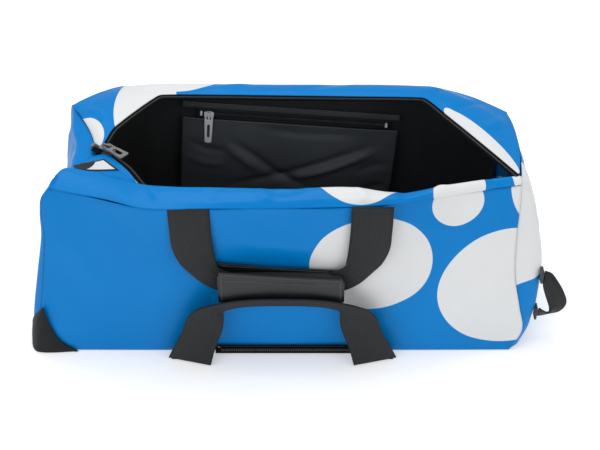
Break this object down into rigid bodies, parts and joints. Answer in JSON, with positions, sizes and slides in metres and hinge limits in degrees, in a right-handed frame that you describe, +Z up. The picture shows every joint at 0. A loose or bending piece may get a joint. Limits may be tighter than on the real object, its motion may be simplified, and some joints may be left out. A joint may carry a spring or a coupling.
{
  "type": "ski boot bag",
  "caption": "Soft dotted holdall standing with its zipped mouth open, with two carrying handles, an end grab loop, an inner zipped pocket and a lower edge zip.",
  "frame": {"origin": "middle of the base where it rests on the floor", "axes": "+X along the bag towards the grab loop, +Y from the carrying-handle side to the far side, +Z up"},
  "size_m": [0.6921, 0.2633, 0.2792],
  "materials": {
    "tarpaulin": "glossy coated cloth, blue with large white dots",
    "lining": "matte black coated lining",
    "stiffener": "plain black board",
    "zip_tape": "woven black tape",
    "zip_coil": "black nylon coil",
    "dark_metal": "dark grey plating, worn bright at the edges",
    "bright_metal": "bright nickel plating",
    "webbing": "matte black woven webbing",
    "foam": "soft closed-cell foam",
    "grip_cloth": "black cloth with bound edges",
    "touch_tape": "black hook-and-loop tape",
    "guard_cloth": "heavy black woven cloth",
    "label": "black and white woven patch, plain"
  },
  "bodies": {
    "bag": {"front_panel": "tarpaulin", "back_panel": "tarpaulin", "left_end_panel": "tarpaulin", "right_end_panel": "tarpaulin", "front_lining": "lining", "back_lining": "lining", "left_lining": "lining", "right_lining": "lining", "base_panel": "tarpaulin", "base_board": "stiffener", "base_lining": "lining", "front_top_panel": "tarpaulin", "back_top_panel": "tarpaulin", "main_zip_tape_front": "zip_tape", "main_zip_tape_back": "zip_tape", "main_zip_coil_front": "zip_coil", "main_zip_coil_back": "zip_coil", "main_zip_joined_tape": "zip_tape", "main_zip_joined_coil": "zip_coil", "main_zip_end_stop": "dark_metal", "pocket_panel": "lining", "pocket_top_binding": "lining", "pocket_zip_tape": "zip_tape", "pocket_zip_coil": "zip_coil", "pocket_zip_stops": "bright_metal", "hem_zip_tape": "zip_tape", "hem_zip_coil": "zip_coil", "hem_zip_stops": "dark_metal", "lower_handle_anchors": "webbing", "end_handle_anchors": "webbing", "corner_guard_front": "guard_cloth", "corner_guard_back": "guard_cloth", "label_patch": "label"},
    "upper_handle": {"upper_handle_webbing": "webbing", "grip_core": "foam", "grip_wrap": "grip_cloth", "grip_loop_strip": "touch_tape"},
    "grip_flap": {"grip_flap": "grip_cloth", "grip_hook_strip": "touch_tape"},
    "lower_handle": {"lower_handle_webbing": "webbing"},
    "end_handle": {"end_handle_webbing": "webbing"},
    "main_slider": {"main_slider_body": "dark_metal"},
    "main_puller": {"main_puller": "dark_metal"},
    "pocket_slider": {"pocket_slider_body": "bright_metal"},
    "pocket_puller": {"pocket_puller": "bright_metal"},
    "hem_slider": {"hem_slider_body": "dark_metal"},
    "hem_puller": {"hem_puller": "dark_metal"}
  },
  "joints": [
    {"name": "upper_handle_swing", "type": "hinge", "parent": "bag", "child": "upper_handle", "pos_m": [0.013, -0.1246, 0.249], "axis": [-1, 0, 0], "range_deg": [0, 165]},
    {"name": "grip_flap_open", "type": "hinge", "parent": "upper_handle", "child": "grip_flap", "pos_m": [0.0115, -0.1382, 0.1095], "axis": [1, 0, 0], "range_deg": [0, 90]},
    {"name": "lower_handle_swing", "type": "hinge", "parent": "bag", "child": "lower_handle", "pos_m": [0.012, -0.133, 0.0034], "axis": [1, 0, 0], "range_deg": [0, 85]},
    {"name": "end_handle_swing", "type": "hinge", "parent": "bag", "child": "end_handle", "pos_m": [0.3484, -0.09, 0.08], "axis": [0, 0, 1], "range_deg": [-25, 25]},
    {"name": "main_slider_slide", "type": "slide", "parent": "bag", "child": "main_slider", "axis": [-0.9063, 0.4226, 0], "range_m": [0, 0.008]},
    {"name": "main_puller_tilt", "type": "hinge", "parent": "main_slider", "child": "main_puller", "pos_m": [-0.206, -0.014, 0.26], "axis": [-0.6428, -0.766, 0], "range_deg": [0, 150]},
    {"name": "pocket_slider_slide", "type": "slide", "parent": "bag", "child": "pocket_slider", "axis": [0.9969, -0.0021, -0.0784], "range_m": [0, 0.228]},
    {"name": "pocket_puller_tilt", "type": "hinge", "parent": "pocket_slider", "child": "pocket_puller", "pos_m": [-0.08766, 0.11056, 0.21987], "axis": [-0.9969, 0.0021, 0.0784], "range_deg": [0, 100]},
    {"name": "hem_slider_slide", "type": "slide", "parent": "bag", "child": "hem_slider", "axis": [-1, 0, 0], "range_m": [0, 0.195]},
    {"name": "hem_puller_tilt", "type": "hinge", "parent": "hem_slider", "child": "hem_puller", "pos_m": [0.137, -0.1222, 0.00823], "axis": [0, -0.028, 0.9996], "range_deg": [0, 22]}
  ]
}
